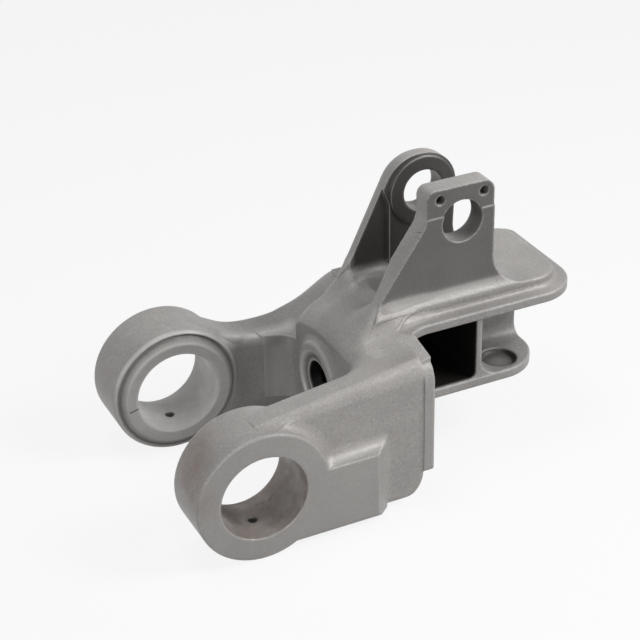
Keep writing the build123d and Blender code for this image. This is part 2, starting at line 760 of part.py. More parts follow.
os.makedirs("parts", exist_ok=True)
export_step(whole, "parts/bracket.step")
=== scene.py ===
"""Finish, threads, floor, lamps and camera of a one-piece investment-cast bracket."""

import math

import bmesh
import bpy
from mathutils import Matrix, Vector
from mathutils.bvhtree import BVHTree


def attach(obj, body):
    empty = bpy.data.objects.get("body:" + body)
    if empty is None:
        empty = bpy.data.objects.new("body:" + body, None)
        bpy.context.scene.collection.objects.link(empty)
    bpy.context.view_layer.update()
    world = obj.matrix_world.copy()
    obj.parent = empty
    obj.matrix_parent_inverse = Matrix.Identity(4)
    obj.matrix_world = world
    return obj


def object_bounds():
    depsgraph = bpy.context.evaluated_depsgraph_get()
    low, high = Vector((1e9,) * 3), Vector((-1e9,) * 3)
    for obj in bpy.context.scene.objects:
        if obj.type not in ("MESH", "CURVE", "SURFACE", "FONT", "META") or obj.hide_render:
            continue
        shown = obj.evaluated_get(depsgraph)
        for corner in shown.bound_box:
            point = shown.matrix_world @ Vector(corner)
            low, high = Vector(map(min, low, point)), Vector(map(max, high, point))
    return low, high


bl_info = {
    "name": "Cast bracket finish",
    "version": (1, 0, 0),
    "blender": (4, 5, 0),
    "location": "3D View > Sidebar > Bracket",
    "description": "Dresses the cast bracket and sets its floor, lamps and camera",
    "category": "Object",
}

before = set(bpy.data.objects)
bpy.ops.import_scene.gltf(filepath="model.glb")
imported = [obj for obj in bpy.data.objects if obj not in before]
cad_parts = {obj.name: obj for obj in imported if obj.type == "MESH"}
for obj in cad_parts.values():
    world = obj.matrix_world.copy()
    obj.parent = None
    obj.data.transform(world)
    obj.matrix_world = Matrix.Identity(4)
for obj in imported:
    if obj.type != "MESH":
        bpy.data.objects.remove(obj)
CAD_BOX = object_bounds()
CASTING = "bracket"
MM = 0.001

# Places that the finish follows, in millimetres, as in the part's own frame
EYE_BORE_R = 30.0
EYE_FACE_Y = 92.4
EYE_RING_R = 36.4
EYE_RING_Y = 49.4
EYE_GROOVE_R = 43.0
EYE_GROOVE_Y = 53.4
EAR_BORE_R = 15.0
EAR_X = 173.3
EAR_Z = 128.0
FAR_RING_Y = 18.2
FAR_RING_R = 24.5
MILLED_Y = -33.7
MILLED_Z = 134.2
SCREW_SPACING = 32.7
SCREW_Z = 146.0
WINDOW_Y = -49.0
PLATE_X = 118.8
FLANGE_UNDER_Z = 59.1
LOW_FLANGE_Z = 14.2
CAVITY_LEFT = 92.4
CAVITY_RIGHT = 178.6
CAVITY_FAR_Y = 35.2
CAVITY_TOP = 44.0
CAVITY_BOTTOM = -16.2
FAR_EAR_Y = 24.0
# Height where the painted shade on the ears' front faces starts
EAR_SHADE_Z = 78.6
FRONT_DEPTH = 1.6
BOSS_Z = 12.0
BOSS_HOLE_R = 15.0
BOSS_WALL_X = 83.5
SEAT_X = 205.8
SEAT_Y = 32.0
SEAT_R = 12.8
SEAT_Z = 10.4
SEAT_DEPTH = 2.6

# How far masks reach past the faces that they cover, in millimetres
BORE_REACH = 0.3
FACE_REACH = 0.2
FAR_RING_REACH = 0.8
HOLLOW_REACH = 0.4

# How softly masks end, in millimetres
SOFT = 0.15
EAR_FADE = 4.0
DEPTH_FADE = 0.4
WINDOW_FADE = 1.5
HOLLOW_FADE = 1.0

# How far inside the window the painted shade starts, in millimetres
WINDOW_INSET = 2.0

# Y of the normals that count as facing the front, and the band in which they fade
FRONT_Y = -0.6
FRONT_FADE = 0.3

# Cosine between the rounded and the flat surface, off an edge and on one
EDGE_FLAT = 0.985
EDGE_SHARP = 0.9

# How far an edge looks for open air, in millimetres, and the shares that count as shut and open
AIR_REACH = 3.0
AIR_CLOSED = 0.85
AIR_OPEN = 0.97

# Sizes of the patterns in the surface, in metres
BROAD_SIZE = 0.05
STAIN_SIZE = 0.009
MOTTLE_SIZE = 0.008
WAVE_SIZE = 0.006
WORN_SIZE = 0.0022

# How strongly each finish, painted shade and painted highlight covers the blasted one, from 0 to 1
RING_MACHINED = 0.35
FACE_MACHINED = 0.6
# Painted shade on the ears' front faces and in the ear bore
NEAR_EAR_SHADE = 0.68
FAR_EAR_SHADE = 0.95
EAR_BORE_SHADE = 0.45
# Painted shade in the seats on the lower flange
SEAT_SHADE = 0.9
EDGE_WEAR_AND_HIGHLIGHT = 0.9

# Margins round places that are cut after casting, in millimetres
CLEAR = 1.0
WIDE_CLEAR = 1.5
SEAT_BAND = 5.0

# Light rust stains: place and reach in millimetres, and how far they cover
STAINS = (
    ((-39.0, -72.0, 23.0), 22.0, 1.0),
    ((-31.0, -64.0, 34.0), 18.0, 0.6),
    ((-44.0, -80.0, 8.0), 20.0, 0.7),
    ((-43.0, 66.0, 16.0), 16.0, 0.3),
)

# Pits, nicks and the ring's notch: from, to and half width in millimetres, and how dark they are
MARKS = (
    ((118.1, 43.5, 60.9), (118.4, 43.0, 61.1), 0.9, 0.8),
    ((143.2, -33.5, 126.1), (142.4, -29.0, 124.8), 0.5, 0.6),
    ((141.2, -34.0, 123.0), (140.4, -30.0, 121.9), 0.4, 0.5),
    ((19.0, -60.5, -23.2), (16.0, -62.5, -25.4), 1.1, 0.35),
    ((12.5, -60.5, -27.3), (8.0, -58.5, -28.9), 0.9, 0.3),
    ((-29.8, 49.4, -4.4), (-36.0, 49.4, -6.0), 0.7, 0.85),
)

# Painted highlights along rounded edges, fillets and a column: from, to and half width in millimetres,
# and how bright
PAINTED_HIGHLIGHT_BANDS = (
    ((40.0, 58.0, 26.0), (86.0, 54.5, 26.0), 9.0, 0.95),
    ((48.0, -88.0, 9.5), (88.0, -85.0, 11.5), 4.5, 0.5),
    ((122.0, -38.0, 77.5), (194.0, -39.0, 78.0), 6.0, 0.35),
    ((118.0, 22.0, 66.0), (119.0, 24.0, 100.0), 5.0, 0.5),
    ((73.5, 49.0, 14.0), (73.5, 49.0, -24.0), 9.0, 0.45),
)

# Painted highlights on the lips and painted shade in the groove round the eyes' inner rings: radius
# and half width in millimetres, share and tint
RING_HIGHLIGHTS_AND_SHADE = (
    (30.6, 0.9, 0.5, "bright"),
    (37.4, 1.8, 0.55, "bright"),
    (41.6, 1.9, 0.55, "dark"),
    (44.6, 2.0, 0.6, "bright"),
)

# The same painted highlights and shade round the boss hole, near its face
BOSS_HIGHLIGHTS_AND_SHADE = (
    (23.0, 2.6, 0.55, "bright"),
    (18.4, 3.2, 0.6, "dark"),
    (15.4, 1.0, 0.6, "bright"),
)
BOSS_FACE_X = 80.5
BOSS_BAND = 6.0
BOSS_FADE = 2.0

# Boxes with wide fillets, low and high corner in millimetres, and the band in which they fade
WIDE_ZONES = (
    ((98.0, -56.0, 52.0), (152.0, -8.0, 92.0)),
    ((94.0, 6.0, 50.0), (142.0, 60.0, 100.0)),
    ((30.0, 38.0, -40.0), (104.0, 92.0, 56.0)),
    ((98.0, -92.0, 38.0), (140.0, -40.0, 76.0)),
    ((60.0, -92.0, 20.0), (118.0, 0.0, 76.0)),
)
ZONE_FADE = 9.0

# Corners of the casting that lie closer than this are taken as one, in metres
MERGE_DISTANCE = 0.02 * MM

# Corners of the wedges under the fillets, in millimetres: two lead the ears' slanted edges
# down into the hood, and the third leads the far arm into the body
FOOT_BLENDS = (
    (
        (115.0, -28.0, 85.5), (115.0, -36.0, 85.5), (89.0, -22.0, 60.5), (90.0, -44.0, 60.0),
        (116.0, -12.0, 68.0), (102.0, -8.0, 64.5), (115.0, -28.0, 64.0), (115.0, -36.0, 64.0),
    ),
    (
        (119.5, 22.5, 81.0), (119.5, 30.0, 81.0), (103.0, 20.0, 61.5), (100.0, 36.0, 56.0),
        (119.5, 10.0, 69.5), (119.5, 22.0, 60.0), (119.5, 38.0, 62.0),
    ),
    (
        (51.0, 58.4, 26.2), (69.0, 51.0, 26.2), (58.0, 63.0, 26.2), (76.0, 56.0, 26.2),
        (51.0, 58.4, -23.0), (69.0, 51.0, -23.0), (58.0, 63.0, -23.0), (76.0, 56.0, -23.0),
    ),
)

WHITE = (1.0, 1.0, 1.0, 1.0)
# How far the floor's own white hides the shadow from the eye
FLOOR_WHITE_SHARE = 0.87
# Share of its light that the floor throws back on the object
FLOOR_BOUNCE = 0.3

# The thread starts this far in from the milled face, in millimetres
THREAD_START = 0.6
THREAD_COLOUR = (0.16, 0.15, 0.14)

# Lamps in metres: name, place, aim, size and spread in degrees
MIDDLE = (0.1, 0.0, 0.05)
LAMPS = (
    ("main", (0.8, -0.5, 0.8), MIDDLE, (0.4, 0.4), 180),
    ("top", (-0.1, 0.1, 1.15), MIDDLE, (0.4, 0.4), 180),
    ("left", (-0.8, -0.1, 0.2), (0.05, 0.0, 0.0), (0.5, 0.3), 180),
    ("front", (0.03, -0.45, 0.02), (0.06, 0.0, 0.0), (0.4, 0.1), 70),
)
FLOOR_SIZE = 8.0
FLOOR_PLACE = (0.1, 0.0)

# Camera, solved on the photograph's own lines
CAMERA_PLACE = (-372.5, -955.2, 663.8)
CAMERA_AZIMUTH = -25.598
CAMERA_ELEVATION = 29.698
CAMERA_ROLL = -1.178
CAMERA_LENS = 102.65
SENSOR = 36.0
CLIP_END = 20.0


class FinishSettings(bpy.types.PropertyGroup):
    """Colours and grain of the casting's surfaces, with its painted shade and highlights"""

    cast_colour: bpy.props.FloatVectorProperty(
        name="Cast colour", description="Colour of the shot-blasted surface",
        subtype="COLOR", size=3, min=0, max=1, default=(0.37, 0.354, 0.342),
    )
    machined_colour: bpy.props.FloatVectorProperty(
        name="Machined colour", description="Colour of the turned surfaces",
        subtype="COLOR", size=3, min=0, max=1, default=(0.7, 0.69, 0.67),
    )
    # Also used to darken and brown the near eye bore
    stain_colour: bpy.props.FloatVectorProperty(
        name="Stain colour", description="Colour of the light rust stains",
        subtype="COLOR", size=3, min=0, max=1, default=(0.22, 0.165, 0.145),
    )
    # Painted shade: the ears' front faces, the ear bore and the flange seats are darkened towards it
    painted_shade_colour: bpy.props.FloatVectorProperty(
        name="Painted shade colour", description="Colour of the darker faces of the two ears",
        subtype="COLOR", size=3, min=0, max=1, default=(0.05, 0.045, 0.041),
    )
    # Worn bright edges, and the painted highlights on edges, lips and bands
    wear_and_highlight_colour: bpy.props.FloatVectorProperty(
        name="Edge colour", description="Colour of the bright worn edges",
        subtype="COLOR", size=3, min=0, max=1, default=(0.72, 0.70, 0.68),
    )
    # Painted shade inside the body and in the grooves; also the colour of the pits and nicks
    shade_and_pit_colour: bpy.props.FloatVectorProperty(
        name="Hollow colour", description="Colour of the unblasted scale inside the body",
        subtype="COLOR", size=3, min=0, max=1, default=(0.012, 0.011, 0.010),
    )
    grain_size: bpy.props.FloatProperty(
        name="Grain size", description="Size of the blasted grain",
        subtype="DISTANCE", unit="LENGTH", min=0.0002, max=0.005, default=0.0015,
    )
    grain_depth: bpy.props.FloatProperty(
        name="Grain depth", description="Depth of the blasted grain",
        subtype="DISTANCE", unit="LENGTH", min=0.0, max=0.001, default=0.00016,
    )
    edge_round: bpy.props.FloatProperty(
        name="Edge softness", description="Radius by which the finish softens small edges",
        subtype="DISTANCE", unit="LENGTH", min=0.0, max=0.005, default=0.0026,
    )


class ThreadSettings(bpy.types.PropertyGroup):
    """Size of the thread in the two tapped holes"""

    pitch: bpy.props.FloatProperty(
        name="Pitch", description="Distance from one turn to the next",
        subtype="DISTANCE", unit="LENGTH", min=0.0005, max=0.003, default=0.00125,
    )
    core_radius: bpy.props.FloatProperty(
        name="Hole radius", description="Radius of the hole wall that carries the thread",
        subtype="DISTANCE", unit="LENGTH", min=0.001, max=0.01, default=0.0034,
    )
    crest: bpy.props.FloatProperty(
        name="Crest height", description="How far the thread stands in from the wall",
        subtype="DISTANCE", unit="LENGTH", min=0.0001, max=0.001, default=0.00042,
    )
    depth: bpy.props.FloatProperty(
        name="Threaded depth", description="Length of the threaded stretch",
        subtype="DISTANCE", unit="LENGTH", min=0.003, max=0.03, default=0.0105,
    )


class FilletSettings(bpy.types.PropertyGroup):
    """Soft fillets that casting leaves in the inner corners"""

    cell: bpy.props.FloatProperty(
        name="Cell", description="Cell size of the skin that the fillets are taken from",
        subtype="DISTANCE", unit="LENGTH", min=0.0008, max=0.004, default=0.0013,
    )
    steps: bpy.props.IntProperty(
        name="Softening", description="Smoothing steps; more give wider fillets",
        min=1, max=120, default=30,
    )
    wide_steps: bpy.props.IntProperty(
        name="Wide softening", description="Extra smoothing steps where the fillets are wide",
        min=0, max=400, default=110,
    )
    sink: bpy.props.FloatProperty(
        name="Sink", description="How far the skin is sunk, so that it shows in corners only",
        subtype="DISTANCE", unit="LENGTH", min=0.0, max=0.001, default=0.00016,
    )


class StageSettings(bpy.types.PropertyGroup):
    """Floor and lamps"""

    floor_colour: bpy.props.FloatVectorProperty(
        name="Floor colour", description="Colour of the plain floor",
        subtype="COLOR", size=3, min=0, max=1, default=(0.86, 0.86, 0.86),
    )
    main_power: bpy.props.FloatProperty(
        name="Main lamp", description="Power of the lamp high at the right",
        unit="POWER", min=0, default=8.2,
    )
    top_power: bpy.props.FloatProperty(
        name="Top lamp", description="Power of the lamp above",
        unit="POWER", min=0, default=3.2,
    )
    left_power: bpy.props.FloatProperty(
        name="Left lamp", description="Power of the lamp at the left",
        unit="POWER", min=0, default=1.5,
    )
    front_power: bpy.props.FloatProperty(
        name="Front lamp", description="Power of the low lamp in front",
        unit="POWER", min=0, default=0.09,
    )
    world_strength: bpy.props.FloatProperty(
        name="World strength", description="Strength of the light from all round", min=0, default=0.1,
    )


class Tree:
    """Short calls that add nodes to one node tree."""

    def __init__(self, tree):
        self.tree = tree

    def add(self, kind, values=None, **settings):
        node = self.tree.nodes.new(kind)
        for name, value in settings.items():
            setattr(node, name, value)
        for name, value in (values or {}).items():
            socket = node.inputs[name]
            if isinstance(value, bpy.types.NodeSocket):
                self.tree.links.new(value, socket)
            else:
                socket.default_value = value
        return node

    def sum_up(self, operation, a, b=0.0, c=0.0, clamp=False):
        node = self.add("ShaderNodeMath", {0: a, 1: b, 2: c}, operation=operation, use_clamp=clamp)
        return node.outputs[0]

    def below(self, value, limit, soft=SOFT):
        """1 where value is under limit, and 0 over it."""
        ends = {"From Min": limit - soft, "From Max": limit + soft, "To Min": 1.0, "To Max": 0.0}
        node = self.add(
            "ShaderNodeMapRange", {"Value": value, **ends}, interpolation_type="SMOOTHSTEP"
        )
        return node.outputs[0]

    def above(self, value, limit, soft=SOFT):
        return self.sum_up("SUBTRACT", 1.0, self.below(value, limit, soft))

    def between(self, value, low, high):
        return self.all_of(self.above(value, low), self.below(value, high))

    def away(self, value, centre):
        """Distance of value from centre, on either side."""
        return self.sum_up("ABSOLUTE", self.sum_up("SUBTRACT", value, centre))

    def part_of(self, mask, share):
        return self.sum_up("MULTIPLY", mask, share)

    def all_of(self, *masks):
        result = masks[0]
        for mask in masks[1:]:
            result = self.sum_up("MULTIPLY", result, mask)
        return result

    def any_of(self, *masks):
        result = masks[0]
        for mask in masks[1:]:
            result = self.sum_up("MAXIMUM", result, mask)
        return result

    def from_axis(self, a, b, a0, b0):
        """Distance from an axis that crosses the a, b plane at a0, b0."""
        da = self.sum_up("SUBTRACT", a, a0)
        db = self.sum_up("SUBTRACT", b, b0)
        squares = self.sum_up("ADD", self.sum_up("MULTIPLY", da, da), self.sum_up("MULTIPLY", db, db))
        return self.sum_up("SQRT", squares)

    def blend(self, share, a, b):
        node = self.add("ShaderNodeMix", data_type="RGBA")
        first, second = [s for s in node.inputs if s.type == "RGBA"]
        for socket, value in ((node.inputs["Factor"], share), (first, a), (second, b)):
            if isinstance(value, bpy.types.NodeSocket):
                self.tree.links.new(value, socket)
            elif isinstance(value, float):
                socket.default_value = value
            else:
                socket.default_value = (*value[:3], 1.0)
        return [s for s in node.outputs if s.type == "RGBA"][0]

    def noise(self, place, size, detail=3.0, rough=0.55):
        node = self.add(
            "ShaderNodeTexNoise",
            {"Vector": place, "Scale": 1.0 / size, "Detail": detail, "Roughness": rough},
        )
        return node.outputs["Fac"]

    def stretch(self, value, low, high, to_low=0.0, to_high=1.0):
        node = self.add(
            "ShaderNodeMapRange",
            {"Value": value, "From Min": low, "From Max": high, "To Min": to_low, "To Max": to_high},
        )
        return node.outputs[0]


def near_point(tree, place_mm, point, radius):
    """1 close to a point, fading to 0 at radius; sizes in millimetres."""
    distance = tree.add("ShaderNodeVectorMath", {0: place_mm, 1: point}, operation="DISTANCE")
    return tree.stretch(distance.outputs["Value"], radius, 0.0)


def line_distance(tree, place_mm, start, end):
    """Distance from the line between start and end, in millimetres."""
    run = Vector(end) - Vector(start)
    from_start = tree.add("ShaderNodeVectorMath", {0: place_mm, 1: start}, operation="SUBTRACT")
    along = tree.add(
        "ShaderNodeVectorMath",
        {0: from_start.outputs["Vector"], 1: run / run.length_squared},
        operation="DOT_PRODUCT",
    )
    share = tree.sum_up("MULTIPLY", along.outputs["Value"], 1.0, clamp=True)
    step = tree.add("ShaderNodeVectorMath", {0: run, 3: share}, operation="SCALE")
    distance = tree.add(
        "ShaderNodeVectorMath",
        {0: from_start.outputs["Vector"], 1: step.outputs["Vector"]},
        operation="DISTANCE",
    )
    return distance.outputs["Value"]


def new_material(name):
    """An empty material and the tree that its nodes go in."""
    material = bpy.data.materials.new(name)
    material.use_nodes = True
    material.node_tree.nodes.clear()
    return material, Tree(material.node_tree)


class Surface:
    """The place being shaded, in millimetres, with what the finishes ask about it."""

    def __init__(self, tree, settings):
        self.place = tree.add("ShaderNodeTexCoord").outputs["Object"]
        scaled = tree.add("ShaderNodeVectorMath", {0: self.place, 3: 1.0 / MM}, operation="SCALE")
        self.place_mm = scaled.outputs["Vector"]
        xyz = tree.add("ShaderNodeSeparateXYZ", {"Vector": self.place_mm}).outputs
        self.x, self.y, self.z = xyz[0], xyz[1], xyz[2]
        self.y_size = tree.sum_up("ABSOLUTE", self.y)
        self.eye_r = tree.from_axis(self.x, self.z, 0.0, 0.0)
        self.ear_r = tree.from_axis(self.x, self.z, EAR_X, EAR_Z)
        self.boss_r = tree.from_axis(self.y, self.z, 0.0, BOSS_Z)
        self.seat_r = tree.from_axis(self.x, self.y_size, SEAT_X, SEAT_Y)
        self.flat = tree.add("ShaderNodeNewGeometry").outputs["True Normal"]
        bevel = tree.add("ShaderNodeBevel", {"Radius": settings.edge_round}, samples=8)
        self.rounded = bevel.outputs[0]
        self.mottle = tree.noise(self.place, MOTTLE_SIZE, 4.0, 0.6)
        self.grain = tree.noise(self.place, settings.grain_size, 3.0, 0.65)
        self.fine = tree.noise(self.place, settings.grain_size * 0.4, 2.0, 0.6)
        facing = tree.add("ShaderNodeSeparateXYZ", {"Vector": self.flat}).outputs[1]
        self.to_front = tree.below(facing, FRONT_Y, FRONT_FADE)
        self.on_ears = tree.above(self.z, EAR_SHADE_Z, EAR_FADE)
        self.eye_bores = tree.below(self.eye_r, EYE_BORE_R + BORE_REACH)
        self.outer_faces = tree.above(self.y_size, EYE_FACE_Y - FACE_REACH)
        self.far_front = tree.all_of(
            self.to_front,
            tree.between(self.y, FAR_RING_Y - FAR_RING_REACH, FAR_EAR_Y),
            self.on_ears,
        )


def machined_share(tree, at):
    """1 in the turned eye bores, less on the eyes' rings and outer faces."""
    on_rings = tree.below(at.y_size, EYE_RING_Y + FACE_REACH)
    rings = tree.all_of(tree.below(at.eye_r, EYE_RING_R), on_rings)
    return tree.any_of(
        at.eye_bores,
        tree.part_of(rings, RING_MACHINED),
        tree.part_of(at.outer_faces, FACE_MACHINED),
    )


def ear_shade_share(tree, at):
    """Painted shade on the ears' front faces and in the ear bore, with the far ear's face in the near
    ear's painted shadow.
    """
    near_front = tree.all_of(
        at.to_front,
        tree.below(tree.away(at.y, MILLED_Y), FRONT_DEPTH, DEPTH_FADE),
        at.on_ears,
    )
    return tree.any_of(
        tree.part_of(near_front, NEAR_EAR_SHADE),
        tree.part_of(at.far_front, FAR_EAR_SHADE),
        tree.part_of(tree.below(at.ear_r, EAR_BORE_R + BORE_REACH), EAR_BORE_SHADE),
    )


def seat_shade_share(tree, at):
    """Painted shade in the seats on the lower flange, darker towards their walls."""
    return tree.all_of(
        tree.stretch(at.seat_r, SEAT_R * 0.2, SEAT_R, 0.35, 1.0),
        tree.below(at.seat_r, SEAT_R + FACE_REACH),
        tree.below(tree.away(at.z, SEAT_Z), SEAT_DEPTH),
    )


def hollow_shade_share(tree, at):
    """Painted shade on the inside of the body, seen through the window and the boss hole."""
    behind_window = tree.all_of(
        tree.above(at.y, WINDOW_Y + WINDOW_INSET, WINDOW_FADE),
        tree.below(at.y, CAVITY_FAR_Y),
        tree.between(at.x, PLATE_X + BORE_REACH, CAVITY_RIGHT),
        tree.between(at.z, LOW_FLANGE_Z - HOLLOW_REACH, FLANGE_UNDER_Z + BORE_REACH),
    )
    behind_boss = tree.all_of(
        tree.above(at.y, WINDOW_Y + WINDOW_INSET, HOLLOW_FADE),
        tree.below(at.y, CAVITY_FAR_Y),
        tree.between(at.x, CAVITY_LEFT, PLATE_X + CLEAR),
        tree.above(at.z, CAVITY_BOTTOM),
        tree.below(at.z, CAVITY_TOP, HOLLOW_FADE),
    )
    boss_hole = tree.all_of(
        tree.below(at.boss_r, BOSS_HOLE_R + HOLLOW_REACH),
        tree.above(at.x, BOSS_WALL_X, WINDOW_FADE),
        tree.below(at.x, CAVITY_LEFT + CLEAR),
    )
    return tree.any_of(behind_window, behind_boss, boss_hole)


def edge_wear_and_highlight_share(tree, at):
    """Outer edges, worn bright and carrying a painted highlight, here more and there less."""
    turn = tree.add("ShaderNodeVectorMath", {0: at.rounded, 1: at.flat}, operation="DOT_PRODUCT")
    air = tree.add("ShaderNodeAmbientOcclusion", {"Distance": AIR_REACH * MM}, samples=6)
    worn = tree.noise(at.place, WORN_SIZE, 3.0, 0.7)
    return tree.all_of(
        tree.stretch(turn.outputs["Value"], EDGE_FLAT, EDGE_SHARP),
        tree.stretch(air.outputs["AO"], AIR_CLOSED, AIR_OPEN),
        tree.stretch(worn, 0.35, 0.6, 0.15, 0.6),
        tree.sum_up("MULTIPLY_ADD", at.far_front, -0.75, 1.0),
    )


def shade_of(colour, factor):
    return tuple(min(c * factor, 1.0) for c in colour)


def blasted_colour(tree, at, settings):
    """Shot-blasted cast steel: broad tone, mottle, pits and glints."""
    base = settings.cast_colour
    broad = tree.noise(at.place, BROAD_SIZE, 2.0)
    cast = tree.blend(tree.stretch(broad, 0.35, 0.65), shade_of(base, 0.86), shade_of(base, 1.1))
    cast = tree.blend(tree.stretch(at.mottle, 0.35, 0.75, 0.0, 0.35), cast, shade_of(base, 0.86))
    cast = tree.blend(tree.stretch(at.grain, 0.55, 0.72, 0.0, 0.5), cast, shade_of(base, 0.5))
    return tree.blend(tree.stretch(at.grain, 0.45, 0.3, 0.0, 0.4), cast, shade_of(base, 1.6))


def turned_colour(tree, at, settings):
    """Turned metal, as dull as the casting on the eyes' outer faces."""
    turned = tree.blend(at.outer_faces, settings.machined_colour, settings.cast_colour)
    patches = tree.stretch(at.mottle, 0.3, 0.7, 0.0, 0.3)
    return tree.blend(patches, turned, shade_of(settings.cast_colour, 0.86))


def with_painted_circles(tree, colour, settings, radius_here, here, lines):
    """Painted highlights on lips and painted shade in grooves, drawn round an axis."""
    # A bright line is a painted highlight, a dark line is painted shade
    paints = {"bright": settings.wear_and_highlight_colour, "dark": settings.shade_and_pit_colour}
    for radius, width, share, tint in lines:
        line = tree.all_of(here, tree.stretch(tree.away(radius_here, radius), width, 0.0))
        colour = tree.blend(tree.part_of(line, share), colour, paints[tint])
    return colour


def with_painted_lips(tree, at, colour, settings):
    """Painted highlights and shade on the lips and grooves of the eyes' inner rings and of the boss.
    """
    at_ring = tree.between(at.y_size, EYE_RING_Y - CLEAR, EYE_GROOVE_Y + WIDE_CLEAR)
    colour = with_painted_circles(tree, colour, settings, at.eye_r, at_ring, RING_HIGHLIGHTS_AND_SHADE)
    at_boss = tree.below(tree.away(at.x, BOSS_FACE_X), BOSS_BAND, BOSS_FADE)
    return with_painted_circles(tree, colour, settings, at.boss_r, at_boss, BOSS_HIGHLIGHTS_AND_SHADE)


def with_wear_and_highlights(tree, at, colour, settings):
    """Rust stains, a darker and browner near bore, small marks and painted highlight bands."""
    # The near eye bore is made darker and browner than the far one
    near_bore = tree.all_of(at.eye_bores, tree.below(at.y, 0.0))
    browned = tree.all_of(near_bore, tree.stretch(at.mottle, 0.2, 0.8, 0.55, 0.9))
    colour = tree.blend(browned, colour, settings.stain_colour)
    patches = tree.stretch(tree.noise(at.place, STAIN_SIZE, 3.0, 0.65), 0.32, 0.6, 0.5, 1.0)
    for point, radius, depth in STAINS:
        share = tree.all_of(near_point(tree, at.place_mm, point, radius), patches)
        colour = tree.blend(tree.part_of(share, depth), colour, settings.stain_colour)
    for start, end, width, depth in MARKS:
        share = tree.stretch(line_distance(tree, at.place_mm, start, end), width, width * 0.4)
        colour = tree.blend(tree.part_of(share, depth), colour, settings.shade_and_pit_colour)
    broken = tree.stretch(at.grain, 0.3, 0.6, 0.5, 1.0)
    # Painted highlights along rounded edges, fillets and a column
    for start, end, width, depth in PAINTED_HIGHLIGHT_BANDS:
        share = tree.stretch(line_distance(tree, at.place_mm, start, end), width, 0.0)
        share = tree.all_of(share, broken)
        colour = tree.blend(tree.part_of(share, depth), colour, settings.wear_and_highlight_colour)
    return colour


def relief(tree, at, machined, settings):
    """Normal of the blasted surface: grain and slow waves, with little grain where it is turned."""
    height = tree.sum_up("ADD", at.grain, tree.part_of(at.fine, 0.5))
    height = tree.all_of(height, tree.sum_up("MULTIPLY_ADD", machined, -0.8, 1.0))
    height = tree.sum_up("MULTIPLY_ADD", tree.noise(at.place, WAVE_SIZE, 2.0), 1.4, height)
    bump = tree.add(
        "ShaderNodeBump",
        {"Strength": 1.0, "Distance": settings.grain_depth, "Height": height, "Normal": at.rounded},
    )
    return bump.outputs[0]


def casting_finish(settings):
    """Shot-blasted cast steel with turned bores, stains, painted shade on the ears, the seats and the
    hollow, and painted highlights.
    """
    material, tree = new_material("cast_steel_finish")
    at = Surface(tree, settings)
    machined = machined_share(tree, at)
    blasted = blasted_colour(tree, at, settings)
    colour = tree.blend(machined, blasted, turned_colour(tree, at, settings))
    # Painted shade on the ears' front faces and in the ear bore
    colour = tree.blend(ear_shade_share(tree, at), colour, settings.painted_shade_colour)
    # Painted shade in the seats on the lower flange
    colour = tree.blend(tree.part_of(seat_shade_share(tree, at), SEAT_SHADE), colour, settings.painted_shade_colour)
    # Painted highlights on lips and painted shade in grooves
    colour = with_painted_lips(tree, at, colour, settings)
    colour = with_wear_and_highlights(tree, at, colour, settings)
    # Worn edges with a painted highlight
    colour = tree.blend(tree.part_of(edge_wear_and_highlight_share(tree, at), EDGE_WEAR_AND_HIGHLIGHT), colour, settings.wear_and_highlight_colour)
    # Painted shade inside the body and the boss hole
    colour = tree.blend(hollow_shade_share(tree, at), colour, settings.shade_and_pit_colour)
    roughness = tree.sum_up("MULTIPLY_ADD", machined, -0.06, 0.38)
    roughness = tree.sum_up("MULTIPLY_ADD", tree.stretch(at.mottle, 0.3, 0.7), 0.08, roughness)
    shader = tree.add(
        "ShaderNodeBsdfPrincipled",
        {
            "Base Color": colour,
            "Roughness": roughness,
            "Metallic": 0.1,
            "Normal": relief(tree, at, machined, settings),
        },
    )
    tree.add("ShaderNodeOutputMaterial", {"Surface": shader.outputs[0]})
    return material


def thread_tree(material):
    """Geometry nodes: a helical ridge, set in each of two holes."""
    group = bpy.data.node_groups.new("hole_threads", "GeometryNodeTree")
    tree = Tree(group)
    group.interface.new_socket("Geometry", in_out="INPUT", socket_type="NodeSocketGeometry")
    group.interface.new_socket("Geometry", in_out="OUTPUT", socket_type="NodeSocketGeometry")
    for name in ("Pitch", "Hole radius", "Crest", "Depth", "Spacing"):
        group.interface.new_socket(name, in_out="INPUT", socket_type="NodeSocketFloat")
    given = tree.add("NodeGroupInput").outputs
    turns = tree.sum_up("DIVIDE", given["Depth"], given["Pitch"])
    helix = tree.add(
        "GeometryNodeCurveSpiral",
        {
            "Resolution": 28,
            "Rotations": turns,
            "Start Radius": given["Hole radius"],
            "End Radius": given["Hole radius"],
            "Height": given["Depth"],
        },
    )
    profile = tree.add("GeometryNodeCurvePrimitiveCircle", {"Resolution": 3, "Radius": given["Crest"]})
    ridge = tree.add(
        "GeometryNodeCurveToMesh",
        {"Curve": helix.outputs[0], "Profile Curve": profile.outputs["Curve"], "Fill Caps": True},
    )
    half = tree.sum_up("MULTIPLY", given["Spacing"], 0.5)
    start = tree.add("ShaderNodeCombineXYZ", {"X": tree.sum_up("MULTIPLY", half, -1.0)})
    step = tree.add("ShaderNodeCombineXYZ", {"X": given["Spacing"]})
    places = tree.add(
        "GeometryNodeMeshLine",
        {"Count": 2, "Start Location": start.outputs[0], "Offset": step.outputs[0]},
    )
    copies = tree.add(
        "GeometryNodeInstanceOnPoints",
        {
            "Points": places.outputs[0],
            "Instance": ridge.outputs[0],
            "Rotation": (-math.pi / 2, 0.0, 0.0),
        },
    )
    real = tree.add("GeometryNodeRealizeInstances", {"Geometry": copies.outputs[0]})
    named = tree.add("GeometryNodeSetMaterial", {"Geometry": real.outputs[0], "Material": material})
    tree.add("NodeGroupOutput", {"Geometry": named.outputs[0]})
    return group


